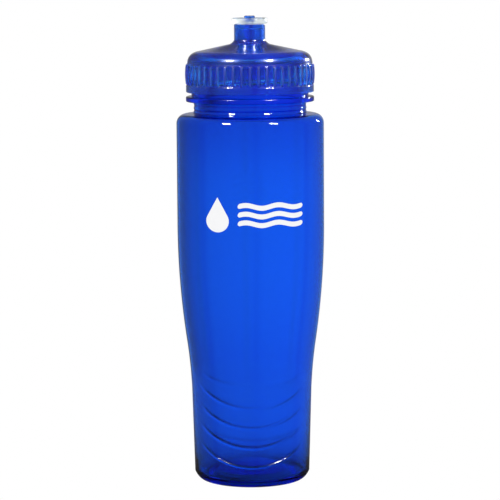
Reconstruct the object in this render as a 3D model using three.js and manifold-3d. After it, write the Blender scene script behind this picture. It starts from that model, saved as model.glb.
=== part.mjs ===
// Sports squeeze bottle with a screw lid and a push-pull mouthpiece.
// Millimetres, +Z up. The origin is on the floor, on the bottle's axis. The decorated front faces -Y.
// Four mouldings: the blown bottle, the sealing washer, the screw lid and the mouthpiece.
import * as THREE from "three";
import { mergeVertices } from "three/addons/utils/BufferGeometryUtils.js";
import Module from "manifold-3d";

const wasm = await Module();
wasm.setup();

// ---- driving dimensions ----
const SIDES = 40; // facets round every turned surface
const FULL_TURN = Math.PI * 2;
const EDGE = 0.5; // bevel on an outside edge
const FINE_EDGE = 0.3; // bevel on a small or inside edge
const DRAFT = 0.15; // slope of a face that leaves the mould sideways
const SINK = 0.5; // how deep an added ridge is sunk in its wall

// Bottle: an upright cylinder above, a narrower grip below, joined by one long curve.
const BODY_RADIUS = 38.1;
const SHOULDER_HEIGHT = 191.4;
const SHOULDER_ROUND = 4.8;
const CURVE_TOP = 133.5; // the long curve runs from here down to the waist
const CURVE_BEND = 103.5; // where its two tangents cross
const WAIST_RADIUS = 33.6;
const WAIST_HEIGHT = 73;
const GRIP_BEND_RADIUS = 31.9;
const GRIP_BEND = 61.5;
const GRIP_TOP_RADIUS = 31.25;
const GRIP_TOP = 48.5;
const HEEL_RADIUS = 30.0;
const HEEL_HEIGHT = 4.3;
const HEEL_BEND_RADIUS = 28.2;
const HEEL_BEND = 0.4;
const FOOT_RADIUS = 24.3;
const FOOT_WIDTH = 2.4;
const PUSH_UP = 6; // how far the middle of the base is pushed in
const PUSH_UP_SPREAD = 18; // radius that the push-up reaches
const PUSH_UP_FALL = 0.55; // share of its height that it has lost there
const PUSH_UP_WALL = 1.8;
const WALL = 0.9;
const BASE_WALL = 2.4;
const HEEL_WALL = 2.2;

// Neck finish, for a lid about 63 mm across its thread.
const NECK_RADIUS = 28.8;
const NECK_FOOT = 194.3;
const NECK_FLARE_OUT = 0.9; // where the shoulder turns up into the neck
const NECK_FLARE_UP = 0.6;
const NECK_FLARE_INSIDE = 1.4;
const NECK_BORE = 27.1;
const FINISH_RADIUS = 29.35;
const SUPPORT_RING_RADIUS = 33.1;
const SUPPORT_RING_LOW = 197.8;
const SUPPORT_RING_HIGH = 200.4;
const STOP_BEAD_RADIUS = 30.2;
const STOP_BEAD_TOP = 203.8;
const RIM_HEIGHT = 217.7;

// Screw thread, right-handed, one start.
const PITCH = 5;
const THREAD_ROOT_WIDTH = 2.2;
const THREAD_CREST_WIDTH = 1.2;
const THREAD_RUN_OUT = 5; // steps over which each end rises out of the wall
const NECK_THREAD_RADIUS = 30.9;
const NECK_THREAD_START = 207.2; // height of the ridge's middle where it begins
const NECK_THREAD_TURNS = 1.25;
const LID_THREAD_RADIUS = 29.75;
const LID_THREAD_BEGIN_TURN = 0.28;
const LID_THREAD_TURNS = 0.92;
const THREAD_GAP = 0.3; // between the flanks that carry the load

// Lid.
const LID_RADIUS = 33.0;
const LID_BOTTOM = 202.6;
const LID_BORE = 31.25;
const LID_SEAT_BORE = 30.7;
const LID_SEAT_START = 215.6;
const LID_SEAT_HEIGHT = 219.2;
const LID_SHELL_RADIUS = 32.45;
const LID_BAND_TOP = 206.2;
const DOME_EDGE_RADIUS = 32.3;
const DOME_EDGE_HEIGHT = 217.8;
const DOME_BEND_RADIUS = 31.9;
const DOME_BEND = 222.9;
const DOME_FLAT_RADIUS = 26.1; // from here inwards the dome is a shallow cone
const DOME_FLAT_HEIGHT = 223.7;
const DOME_WALL = 1.9;
const RIB_COUNT = 48;
const RIB_WIDTH = 1.5;
const RIB_LOW = 205.8;
const RIB_TOP = 217.3;
const RIB_CREST_LOW = 33.0;
const RIB_CREST_MIDDLE = 33.45;
const RIB_CREST_TOP = 32.85;

// Spout: a tube standing on the dome, with a fixed pin in its middle.
const SPOUT_RADIUS = 8.0;
const SPOUT_FOOT_RADIUS = 10.3; // where the spout's fillet meets the cone
const SPOUT_FOOT = 227.15;
const SPOUT_FILLET_BEND = 228.4;
const SPOUT_FILLET_TOP = 229.6;
const SPOUT_TOP = 237.4;
const SPOUT_BOTTOM = 222.7;
const SPOUT_BORE = 6.5;
const SPOUT_TRACK_RADIUS = 7.05; // the wider stretch that the mouthpiece's bead runs in
const SPOUT_TRACK_TOP = 235.2;
const PIN_RADIUS = 2.8;
const PIN_TOP = 241.7;
const WEB_TOP = 225.0; // the pin stands on a web with open ports
const WEB_ARMS = 3;
const WEB_ARM_WIDTH = 2.2;

// Mouthpiece: a flanged tube that slides in the spout and closes on the pin.
const FLANGE_RADIUS = 9.2;
const FLANGE_LOW = 237.6;
const FLANGE_TOP = 240.6;
const SLEEVE_RADIUS = 6.35;
const SLEEVE_BORE = 5.1;
const SLEEVE_BOTTOM = 227.0;
const BEAD_RADIUS = 6.85;
const BEAD_LOW = 227.8;
const BEAD_HIGH = 229.0;
const OUTLET_RADIUS = 2.9;
const OUTLET_LOW = 238.6;
const OUTLET_CONE_FOOT = 237.4; // a cone inside narrows the sleeve to the outlet

// Sealing washer, clamped between the rim and the lid.
const WASHER_OUTER = 30.4;
const WASHER_INNER = 26.9;
const WASHER_LOW = 217.8;
const WASHER_HIGH = 219.05;

// ---- helpers ----
function solid(geometry) {
  const bare = geometry.index ? geometry.toNonIndexed() : geometry.clone();
  bare.deleteAttribute("normal");
  bare.deleteAttribute("uv");
  const merged = mergeVertices(bare, 1e-4);
  return new wasm.Manifold(
    new wasm.Mesh({
      numProp: 3,
      vertProperties: merged.attributes.position.array,
      triVerts: new Uint32Array(merged.index.array),
    }),
  );
}

function geometryOf(manifold) {
  const mesh = manifold.getMesh();
  const geometry = new THREE.BufferGeometry();
  geometry.setAttribute("position", new THREE.BufferAttribute(mesh.vertProperties, 3));
  geometry.setIndex(new THREE.BufferAttribute(mesh.triVerts, 1));
  geometry.computeVertexNormals();
  return geometry;
}

// Turns an outline of [radius, height] points round Z. It runs upwards on the outside of the piece.
function turned(points) {
  const outline = points.map(([radius, height]) => new THREE.Vector2(radius, height));
  return solid(new THREE.LatheGeometry(outline, SIDES).rotateX(Math.PI / 2));
}

function closed(points) {
  return [...points, points[0]];
}

const pairs = (curvePoints) => curvePoints.map((p) => [p.x, p.y]);

// A trapezoid ridge wound on a cylinder: towards is 1 for an outside thread and -1 for an inside one.
function threadRidge({ wallRadius, crestRadius, startHeight, beginTurn, turns }) {
  const towards = Math.sign(crestRadius - wallRadius);
  const steps = Math.round(turns * SIDES);
  const positions = [];
  const index = [];
  for (let i = 0; i <= steps; i++) {
    const turn = beginTurn + (turns * i) / steps;
    const rise = Math.min(1, 0.1 + Math.min(i, steps - i) / THREAD_RUN_OUT);
    const middle = startHeight + PITCH * turn;
    const crest = wallRadius + (crestRadius - wallRadius) * rise;
    const section = [
      [wallRadius - towards * SINK, -THREAD_ROOT_WIDTH / 2],
      [wallRadius, -THREAD_ROOT_WIDTH / 2],
      [crest, -THREAD_CREST_WIDTH / 2],
      [crest, THREAD_CREST_WIDTH / 2],
      [wallRadius, THREAD_ROOT_WIDTH / 2],
      [wallRadius - towards * SINK, THREAD_ROOT_WIDTH / 2],
    ];
    for (const [radius, height] of section) {
      const angle = FULL_TURN * turn;
      positions.push(radius * Math.cos(angle), radius * Math.sin(angle), middle + height);
    }
  }
  const corners = 6;
  const face = (a, b, c) => index.push(...(towards > 0 ? [a, b, c] : [a, c, b]));
  for (let i = 0; i < steps; i++) {
    for (let j = 0; j < corners; j++) {
      const a = i * corners + j;
      const b = i * corners + ((j + 1) % corners);
      face(a, a + corners, b);
      face(b, a + corners, b + corners);
    }
  }
  for (let j = 1; j < corners - 1; j++) {
    face(0, j, j + 1);
    face(steps * corners, steps * corners + j + 1, steps * corners + j);
  }
  const geometry = new THREE.BufferGeometry();
  geometry.setAttribute("position", new THREE.Float32BufferAttribute(positions, 3));
  geometry.setIndex(index);
  return solid(geometry);
}

// ---- bottle ----
// The side wall from the foot ring to the top of the shoulder, moved inwards by inset.
function bodyOutline(inset, detail) {
  const path = new THREE.Path();
  path.moveTo(FOOT_RADIUS + FOOT_WIDTH / 2, 0);
  path.quadraticCurveTo(HEEL_BEND_RADIUS - inset, HEEL_BEND, HEEL_RADIUS - inset, HEEL_HEIGHT);
  path.lineTo(GRIP_TOP_RADIUS - inset, GRIP_TOP);
  path.quadraticCurveTo(GRIP_BEND_RADIUS - inset, GRIP_BEND, WAIST_RADIUS - inset, WAIST_HEIGHT);
  path.quadraticCurveTo(BODY_RADIUS - inset, CURVE_BEND, BODY_RADIUS - inset, CURVE_TOP);
  const shoulderCentre = [BODY_RADIUS - SHOULDER_ROUND, SHOULDER_HEIGHT - SHOULDER_ROUND];
  path.absarc(...shoulderCentre, SHOULDER_ROUND - inset, 0, Math.PI / 2, false);
  return pairs(path.getPoints(detail));
}

// The pushed-in middle of the base, from the axis outwards.
function pushUp(lift) {
  return [0, 0.55, 1].map((t) => [
    PUSH_UP_SPREAD * t,
    PUSH_UP * (1 - PUSH_UP_FALL * t * t) + lift,
  ]);
}

function bottleBody() {
  const INSIDE_DETAIL = 3;
  const outside = [
    ...pushUp(0),
    [FOOT_RADIUS - FOOT_WIDTH / 2, 0],
    ...bodyOutline(0, 4),
    [NECK_RADIUS + NECK_FLARE_OUT, SHOULDER_HEIGHT + NECK_FLARE_UP],
    [NECK_RADIUS, NECK_FOOT],
    [NECK_RADIUS, SUPPORT_RING_LOW - DRAFT],
    [SUPPORT_RING_RADIUS - EDGE, SUPPORT_RING_LOW],
    [SUPPORT_RING_RADIUS, SUPPORT_RING_LOW + EDGE],
    [SUPPORT_RING_RADIUS, SUPPORT_RING_HIGH - EDGE],
    [SUPPORT_RING_RADIUS - EDGE, SUPPORT_RING_HIGH],
    [STOP_BEAD_RADIUS, SUPPORT_RING_HIGH + DRAFT],
    [STOP_BEAD_RADIUS, STOP_BEAD_TOP - EDGE],
    [FINISH_RADIUS, STOP_BEAD_TOP],
    [FINISH_RADIUS, RIM_HEIGHT - EDGE],
    [FINISH_RADIUS - EDGE, RIM_HEIGHT],
  ];
  const inside = [
    [NECK_BORE + EDGE, RIM_HEIGHT],
    [NECK_BORE, RIM_HEIGHT - EDGE],
    [NECK_BORE, NECK_FOOT],
    [NECK_BORE + NECK_FLARE_INSIDE, SHOULDER_HEIGHT - WALL],
    ...bodyOutline(WALL, INSIDE_DETAIL)
      .slice(INSIDE_DETAIL + 1)
      .reverse(),
    [HEEL_RADIUS - HEEL_WALL, HEEL_HEIGHT + HEEL_WALL],
    [FOOT_RADIUS + FOOT_WIDTH / 2, BASE_WALL],
    [FOOT_RADIUS - FOOT_WIDTH, BASE_WALL],
    ...pushUp(PUSH_UP_WALL).reverse(),
  ];
  const thread = threadRidge({
    wallRadius: FINISH_RADIUS,
    crestRadius: NECK_THREAD_RADIUS,
    startHeight: NECK_THREAD_START,
    beginTurn: 0,
    turns: NECK_THREAD_TURNS,
  });
  return turned([...outside, ...inside]).add(thread);
}

// ---- lid ----
// The lid's top, from the edge of the dome in to the spout and up its fillet.
function domeOutline() {
  const path = new THREE.Path();
  path.moveTo(DOME_EDGE_RADIUS, DOME_EDGE_HEIGHT);
  path.quadraticCurveTo(DOME_BEND_RADIUS, DOME_BEND, DOME_FLAT_RADIUS, DOME_FLAT_HEIGHT);
  path.lineTo(SPOUT_FOOT_RADIUS, SPOUT_FOOT);
  path.quadraticCurveTo(SPOUT_RADIUS, SPOUT_FILLET_BEND, SPOUT_RADIUS, SPOUT_FILLET_TOP);
  return pairs(path.getPoints(4));
}

// One grip rib, drawn in the X-Z plane with its crest bowed outwards, and turned into place.
function gripRib(angle) {
  const outline = new THREE.Shape();
  outline.moveTo(LID_SHELL_RADIUS - SINK, RIB_LOW);
  outline.lineTo(RIB_CREST_LOW, RIB_LOW);
  outline.quadraticCurveTo(
    2 * RIB_CREST_MIDDLE - (RIB_CREST_LOW + RIB_CREST_TOP) / 2,
    (RIB_LOW + RIB_TOP) / 2,
    RIB_CREST_TOP,
    RIB_TOP,
  );
  outline.lineTo(LID_SHELL_RADIUS - SINK, RIB_TOP);
  const rib = new THREE.ExtrudeGeometry(outline, {
    depth: RIB_WIDTH,
    bevelEnabled: false,
    curveSegments: 3,
  });
  return solid(rib.translate(0, 0, -RIB_WIDTH / 2).rotateX(Math.PI / 2).rotateZ(angle));
}

// An arm of the web that holds the pin, from the pin out to the tube's wall.
function webArm(angle) {
  const length = SPOUT_TRACK_RADIUS + SINK;
  const arm = new THREE.BoxGeometry(length, WEB_ARM_WIDTH, WEB_TOP - SPOUT_BOTTOM);
  return solid(arm.translate(length / 2, 0, (WEB_TOP + SPOUT_BOTTOM) / 2).rotateZ(angle));
}

function screwLid() {
  const shell = turned(
    closed([
      [LID_BORE, LID_BOTTOM],
      [LID_RADIUS - FINE_EDGE, LID_BOTTOM],
      [LID_RADIUS, LID_BOTTOM + FINE_EDGE],
      [LID_RADIUS, LID_BAND_TOP],
      [LID_SHELL_RADIUS, LID_BAND_TOP + EDGE],
      [LID_SHELL_RADIUS, RIB_TOP - EDGE],
      ...domeOutline(),
      [SPOUT_RADIUS, SPOUT_TOP - EDGE],
      [SPOUT_RADIUS - EDGE, SPOUT_TOP],
      [SPOUT_BORE + FINE_EDGE, SPOUT_TOP],
      [SPOUT_BORE, SPOUT_TOP - FINE_EDGE],
      [SPOUT_BORE, SPOUT_TRACK_TOP],
      [SPOUT_TRACK_RADIUS, SPOUT_TRACK_TOP - DRAFT],
      [SPOUT_TRACK_RADIUS, SPOUT_BOTTOM],
      [SPOUT_RADIUS, SPOUT_BOTTOM],
      [SPOUT_RADIUS, SPOUT_FOOT - DOME_WALL],
      [DOME_FLAT_RADIUS - EDGE, DOME_FLAT_HEIGHT - DOME_WALL],
      [DOME_FLAT_RADIUS, LID_SEAT_HEIGHT],
      [LID_SEAT_BORE, LID_SEAT_HEIGHT],
      [LID_SEAT_BORE, LID_SEAT_START],
      [LID_BORE, LID_SEAT_START - EDGE],
    ]),
  );
  const pin = turned([
    [0, SPOUT_BOTTOM],
    [PIN_RADIUS - FINE_EDGE, SPOUT_BOTTOM],
    [PIN_RADIUS, SPOUT_BOTTOM + FINE_EDGE],
    [PIN_RADIUS, PIN_TOP - EDGE],
    [PIN_RADIUS - EDGE, PIN_TOP],
    [0, PIN_TOP],
  ]);
  const midWidth = (THREAD_ROOT_WIDTH + THREAD_CREST_WIDTH) / 2;
  const thread = threadRidge({
    wallRadius: LID_BORE,
    crestRadius: LID_THREAD_RADIUS,
    startHeight: NECK_THREAD_START - midWidth - THREAD_GAP,
    beginTurn: LID_THREAD_BEGIN_TURN,
    turns: LID_THREAD_TURNS,
  });
  let lid = shell.add(pin).add(thread);
  for (let i = 0; i < WEB_ARMS; i++) lid = lid.add(webArm((FULL_TURN * i) / WEB_ARMS));
  for (let i = 0; i < RIB_COUNT; i++) lid = lid.add(gripRib((FULL_TURN * i) / RIB_COUNT));
  return lid;
}

// ---- mouthpiece and washer ----
function mouthpiece() {
  return turned(
    closed([
      [SLEEVE_BORE, SLEEVE_BOTTOM],
      [SLEEVE_RADIUS - FINE_EDGE, SLEEVE_BOTTOM],
      [SLEEVE_RADIUS, BEAD_LOW - FINE_EDGE],
      [BEAD_RADIUS, BEAD_LOW],
      [BEAD_RADIUS, BEAD_HIGH - FINE_EDGE],
      [SLEEVE_RADIUS, BEAD_HIGH],
      [SLEEVE_RADIUS, FLANGE_LOW],
      [FLANGE_RADIUS - EDGE, FLANGE_LOW],
      [FLANGE_RADIUS, FLANGE_LOW + EDGE],
      [FLANGE_RADIUS, FLANGE_TOP - EDGE],
      [FLANGE_RADIUS - EDGE, FLANGE_TOP],
      [OUTLET_RADIUS + FINE_EDGE, FLANGE_TOP],
      [OUTLET_RADIUS, FLANGE_TOP - FINE_EDGE],
      [OUTLET_RADIUS, OUTLET_LOW],
      [SLEEVE_BORE, OUTLET_CONE_FOOT],
    ]),
  );
}

function sealingWasher() {
  return turned(
    closed([
      [WASHER_INNER, WASHER_LOW],
      [WASHER_OUTER, WASHER_LOW],
      [WASHER_OUTER, WASHER_HIGH],
      [WASHER_INNER, WASHER_HIGH],
    ]),
  );
}

// ---- assembly ----
const clearBlue = new THREE.MeshStandardMaterial({
  color: "#1440c8",
  roughness: 0.08,
  metalness: 0,
});
const lidBlue = new THREE.MeshStandardMaterial({ color: "#1738b0", roughness: 0.15, metalness: 0 });
const frosted = new THREE.MeshStandardMaterial({ color: "#d9dde2", roughness: 0.35, metalness: 0 });
const sealFoam = new THREE.MeshStandardMaterial({ color: "#2a3f8c", roughness: 0.7, metalness: 0 });

function piece(name, manifold, material) {
  const mesh = new THREE.Mesh(geometryOf(manifold), material);
  mesh.name = name;
  return mesh;
}

const spout = new THREE.Group();
spout.add(piece("mouthpiece", mouthpiece(), frosted));

const lid = new THREE.Group();
lid.add(piece("screw_lid", screwLid(), lidBlue), spout);

const bottle = new THREE.Group();
bottle.add(
  piece("bottle_body", bottleBody(), clearBlue),
  piece("sealing_washer", sealingWasher(), sealFoam),
  lid,
);

export default bottle;
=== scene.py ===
# %% [markdown]
# # A clear blue squeeze bottle
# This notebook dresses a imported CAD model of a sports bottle. The outer sizes are read from the CAD. Most
# smaller ones repeat its values in millimetres, and a few differ slightly where the finer shape needs it.
# The pieces made here stand in for its plain solids with rounder edges, real relief and finishes.
# The bottle is four mouldings and a print: the blown bottle, a sealing washer, the screw lid with its spout
# and pin, the push-pull mouthpiece, and white ink on the front.

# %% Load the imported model
import math

import bpy
from mathutils import Matrix, Vector


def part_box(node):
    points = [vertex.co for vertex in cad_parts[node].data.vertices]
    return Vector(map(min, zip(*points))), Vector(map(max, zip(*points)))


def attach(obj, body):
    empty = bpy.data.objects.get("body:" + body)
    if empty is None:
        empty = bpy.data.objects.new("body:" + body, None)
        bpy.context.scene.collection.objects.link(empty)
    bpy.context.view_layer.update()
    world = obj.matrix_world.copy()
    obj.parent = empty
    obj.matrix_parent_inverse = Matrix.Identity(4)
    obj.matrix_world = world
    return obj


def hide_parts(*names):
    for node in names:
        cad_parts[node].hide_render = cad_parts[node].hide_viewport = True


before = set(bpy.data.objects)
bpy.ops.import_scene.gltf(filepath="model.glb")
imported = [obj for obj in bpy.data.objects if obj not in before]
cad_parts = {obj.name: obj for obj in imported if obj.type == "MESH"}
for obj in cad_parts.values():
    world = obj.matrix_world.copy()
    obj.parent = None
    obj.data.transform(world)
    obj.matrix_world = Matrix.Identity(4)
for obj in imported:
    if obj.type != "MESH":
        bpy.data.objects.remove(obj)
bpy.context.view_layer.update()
MM = 0.001  # every outline below is written in millimetres

_, bottle_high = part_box("bottle_body")
lid_low, lid_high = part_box("screw_lid")
mouthpiece_low, mouthpiece_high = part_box("mouthpiece")
washer_low, washer_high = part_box("sealing_washer")
print("bottle's radius and rim, mm:", round(bottle_high.x / MM, 2), round(bottle_high.z / MM, 2))

# %% [markdown]
# ## Camera
# A long lens a little over a metre away keeps the upright sides nearly parallel, and the camera stands just
# above the lid and looks down by seven degrees, so that the dome and the rings show as shallow curves.
# The camera is rolled by a third of a degree, as a hand-levelled tripod often is.

# %% Camera
CAMERA_AT = (-0.0005, -1.248, 0.2746)
CAMERA_TILT = math.radians(82.95)
CAMERA_ROLL = math.radians(-0.36)
SENSOR_WIDTH = 36
FOCAL_LENGTH = 174.0

bpy.ops.object.camera_add(location=CAMERA_AT)
camera = bpy.context.object
camera.matrix_world = (
    Matrix.Translation(CAMERA_AT)
    @ Matrix.Rotation(CAMERA_TILT, 4, "X")
    @ Matrix.Rotation(CAMERA_ROLL, 4, "Z")
)
camera.data.sensor_width = SENSOR_WIDTH
camera.data.lens = FOCAL_LENGTH
camera.data.clip_end = 50
bpy.context.scene.camera = camera
print("camera at", CAMERA_AT, "with a lens of", FOCAL_LENGTH, "mm")

# %% [markdown]
# ## Studio
# Clear plastic shows what stands behind it, so it is lit from behind: a white ground all round, with a few
# narrow dark flags, which draw a dark line along one edge. Rays that the plastic mirrors see a dim room
# with one pale card behind, or the whole surface would turn grey.
# Two small lamps high in front and one behind put the sharp white sparks on shoulder, lid and rings.

# %% Colour handling and light bounces
scene = bpy.context.scene
scene.view_settings.view_transform = "Standard"
scene.view_settings.look = "None"
scene.cycles.max_bounces = 32
scene.cycles.transmission_bounces = 32
scene.cycles.glossy_bounces = 8
scene.cycles.transparent_max_bounces = 16
scene.cycles.caustics_reflective = True
scene.cycles.caustics_refractive = True
print("view transform:", scene.view_settings.view_transform)

# %% Node helpers


def add_node(tree, kind, settings=None, **inputs):
    """A node with its settings, and its inputs set to a number, or joined to a socket."""
    node = tree.nodes.new(kind)
    for key, value in (settings or {}).items():
        setattr(node, key, value)
    for key, value in inputs.items():
        place = int(key[1:]) if key.startswith("i") and key[1:].isdigit() else key.replace("_", " ")
        if isinstance(value, bpy.types.NodeSocket):
            tree.links.new(value, node.inputs[place])
        else:
            node.inputs[place].default_value = value
    return node


def math_node(tree, operation, first, second=0.0, third=0.0, clamp=False):
    """The value of one Math node."""
    settings = {"operation": operation, "use_clamp": clamp}
    return add_node(tree, "ShaderNodeMath", settings, i0=first, i1=second, i2=third).outputs[0]


# %% World: white ground, and dark flags for the plastic
FLAGS = 4  # narrow dark flags round the whole room
FLAG_TURN = math.radians(-9)  # the nearest flag stands behind, a little to the left
FLAG_SHARPNESS = 20.0
FLAG_DEPTH = 0.97
GROUND_LIGHT = 1.05
MIRRORED_ROOM = 0.13  # how bright the room is to the rays that the plastic mirrors
MIRRORED_CARD = 0.36  # and the white card that stands behind
CARD_AT = Vector((0.06, 1.0, 0.05))
CARD_EDGE = (0.93, 0.995)  # cosines of the angles at which the card ends and is at its brightest
SOFT_LIGHT = 1.0  # how bright the room is to the scattered rays

world = bpy.data.worlds.new("studio")
scene.world = world
world.use_nodes = True
room = world.node_tree
room.nodes.clear()

direction = add_node(room, "ShaderNodeTexCoord").outputs["Generated"]
parts = add_node(room, "ShaderNodeSeparateXYZ", i0=direction)
azimuth = math_node(room, "ARCTAN2", parts.outputs["X"], parts.outputs["Y"])
turned = math_node(room, "SUBTRACT", azimuth, FLAG_TURN)
wave = math_node(room, "COSINE", math_node(room, "MULTIPLY", turned, float(FLAGS)))
hump = math_node(room, "MULTIPLY_ADD", wave, 0.5, 0.5)
flags = math_node(room, "POWER", hump, FLAG_SHARPNESS)
ground = math_node(room, "MULTIPLY_ADD", flags, -FLAG_DEPTH * GROUND_LIGHT, GROUND_LIGHT)

path = add_node(room, "ShaderNodeLightPath")
towards_card = add_node(
    room, "ShaderNodeVectorMath", {"operation": "DOT_PRODUCT"},
    i0=direction, i1=CARD_AT.normalized(),
).outputs["Value"]
mirrored = add_node(
    room, "ShaderNodeMapRange", {"interpolation_type": "SMOOTHSTEP"},
    Value=towards_card, From_Min=CARD_EDGE[0], From_Max=CARD_EDGE[1],
    To_Min=MIRRORED_ROOM, To_Max=MIRRORED_CARD,
).outputs[0]
seen = add_node(
    room, "ShaderNodeMix", {"data_type": "FLOAT"},
    i0=path.outputs["Is Transmission Ray"], i2=mirrored, i3=ground,
).outputs[0]
seen = add_node(
    room, "ShaderNodeMix", {"data_type": "FLOAT"},
    i0=path.outputs["Is Diffuse Ray"], i2=seen, i3=SOFT_LIGHT,
).outputs[0]
seen = add_node(
    room, "ShaderNodeMix", {"data_type": "FLOAT"},
    i0=path.outputs["Is Camera Ray"], i2=seen, i3=1.0,
).outputs[0]
ground_light = add_node(room, "ShaderNodeBackground", Color=(1, 1, 1, 1), Strength=seen)
room_out = add_node(room, "ShaderNodeOutputWorld")
room.links.new(ground_light.outputs[0], room_out.inputs["Surface"])
print("world:", FLAGS, "dark flags")

# %% Lamps
LAMP_SIZE = 0.24
LAMP_DISTANCE = 1.1
LAMP_HEIGHT_ANGLE = 39
LAMP_POWER = 14
LEFT_LAMP_AZIMUTH = -43
RIGHT_LAMP_AZIMUTH = 41
BACK_LAMP_AZIMUTH = 135
BACK_LAMP_HEIGHT_ANGLE = 12
BACK_LAMP_SIZE = LAMP_SIZE * 0.6
BACK_LAMP_POWER = LAMP_POWER * 0.4
AIM = Vector((0, 0, 0.19))


def studio_lamp(name, azimuth_deg, elevation_deg, size, power):
    """A round lamp aimed at the shoulder, that only mirroring rays see. Azimuth 0 is the front."""
    azimuth_angle = math.radians(azimuth_deg)
    elevation = math.radians(elevation_deg)
    offset = Vector((
        math.sin(azimuth_angle) * math.cos(elevation),
        -math.cos(azimuth_angle) * math.cos(elevation),
        math.sin(elevation),
    ))
    bpy.ops.object.light_add(type="AREA", location=AIM + offset * LAMP_DISTANCE)
    lamp = bpy.context.object
    lamp.name = name
    lamp.rotation_euler = offset.to_track_quat("Z", "Y").to_euler()
    lamp.data.shape = "DISK"
    lamp.data.size = size
    lamp.data.energy = power
    lamp.visible_camera = False
    lamp.visible_transmission = False
    lamp.visible_diffuse = False
    return lamp


lamps = [
    studio_lamp("lamp_front_left", LEFT_LAMP_AZIMUTH, LAMP_HEIGHT_ANGLE, LAMP_SIZE, LAMP_POWER),
    studio_lamp("lamp_front_right", RIGHT_LAMP_AZIMUTH, LAMP_HEIGHT_ANGLE, LAMP_SIZE, LAMP_POWER),
    studio_lamp(
        "lamp_back_right", BACK_LAMP_AZIMUTH, BACK_LAMP_HEIGHT_ANGLE, BACK_LAMP_SIZE, BACK_LAMP_POWER
    ),
]
print("lamps:", [lamp.name for lamp in lamps])

# %% Floor
FLOOR_SIZE = 12
bpy.ops.mesh.primitive_plane_add(size=FLOOR_SIZE, location=(0, 0, 0))
floor = bpy.context.object
floor.name = "floor"
floor_finish = bpy.data.materials.new("white_sweep")
floor_finish.use_nodes = True
floor_nodes = floor_finish.node_tree
floor_nodes.nodes.clear()
floor_glow = add_node(floor_nodes, "ShaderNodeEmission", Color=(1, 1, 1, 1), Strength=1.0)
floor_out = add_node(floor_nodes, "ShaderNodeOutputMaterial")
floor_nodes.links.new(floor_glow.outputs[0], floor_out.inputs["Surface"])
floor.data.materials.append(floor_finish)
floor.visible_glossy = False
floor.visible_transmission = False
floor.visible_diffuse = False
floor.visible_shadow = False
print("floor:", FLOOR_SIZE, "m")

# %% Shade under the bottle
SHADE_RADIUS = 0.6
SHADE_CORE = 0.028  # inside this radius the floor is darkest
SHADE_FADE = 0.022
SHADE_DEPTH = 0.85
bpy.ops.mesh.primitive_circle_add(
    vertices=64, radius=SHADE_RADIUS, fill_type="NGON", location=(0, 0, -0.5 * MM)
)
shade = bpy.context.object
shade.name = "floor_shade"
shade_finish = bpy.data.materials.new("soft_shade")
shade_finish.use_nodes = True
shade_nodes = shade_finish.node_tree
shade_nodes.nodes.clear()
shade_place = add_node(shade_nodes, "ShaderNodeTexCoord").outputs["Object"]
shade_radius = add_node(
    shade_nodes, "ShaderNodeVectorMath", {"operation": "LENGTH"}, i0=shade_place
).outputs["Value"]
shade_past = math_node(shade_nodes, "SUBTRACT", shade_radius, SHADE_CORE)
shade_past = math_node(shade_nodes, "MAXIMUM", shade_past)
shade_fall = math_node(shade_nodes, "DIVIDE", shade_past, -SHADE_FADE)
shade_fall = math_node(shade_nodes, "EXPONENT", shade_fall)
shade_light = math_node(shade_nodes, "MULTIPLY_ADD", shade_fall, -SHADE_DEPTH, 1.0)
shade_skin = add_node(shade_nodes, "ShaderNodeBsdfTransparent", Color=shade_light)
shade_out = add_node(shade_nodes, "ShaderNodeOutputMaterial")
shade_nodes.links.new(shade_skin.outputs[0], shade_out.inputs["Surface"])
shade.data.materials.append(shade_finish)
shade.visible_camera = False
shade.visible_glossy = True
shade.visible_diffuse = False
shade.visible_shadow = False
print("shade:", SHADE_RADIUS, "m")

# %% [markdown]
# ## Shaping turned pieces
# Every moulding here is round, as if turned on a lathe. By hand that is one vertex extruded along half of
# the section, and a Screw modifier without any climb, which is a spin that merges its own seam and poles.
# It keeps wall thickness and inside faces exact, which matters because clear plastic shows both faces.
# A section is a short list of corners, each with a softness: the length over which it is rounded.

# %% Outline helpers


def bend(start, corner, end, steps):
    """Points on a smooth bend from start to end that leaves and arrives along the lines to corner."""
    start, corner, end = Vector(start), Vector(corner), Vector(end)
    shares = [k / steps for k in range(steps + 1)]
    return [start.lerp(corner, t).lerp(corner.lerp(end, t), t) for t in shares]


def soften(corners, steps=5):
    """Corners as (radius, height, softness), with each one rounded over its softness."""
    points = []
    for i, (radius, height, softness) in enumerate(corners):
        here = Vector((radius, height))
        if softness == 0 or i in (0, len(corners) - 1):
            points.append(here)
            continue
        back = Vector(corners[i - 1][:2]) - here
        ahead = Vector(corners[i + 1][:2]) - here
        begin = here + back.normalized() * min(softness, back.length * 0.49)
        finish = here + ahead.normalized() * min(softness, ahead.length * 0.49)
        points += bend(begin, here, finish, steps)
    return points


def refine(points, low, high, spacing):
    """The same outline, with every line that reaches between low and high cut into short steps."""
    fine = [points[0]]
    for start, end in zip(points, points[1:]):
        pieces = 1
        if max(start.y, end.y) > low and min(start.y, end.y) < high:
            pieces = max(1, math.ceil((end - start).length / spacing))
        fine += [start.lerp(end, (k + 1) / pieces) for k in range(pieces)]
    return fine


# %% Lathe: extrude one vertex along the outline, spin it and close it
WELD = 0.002 * MM


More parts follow.
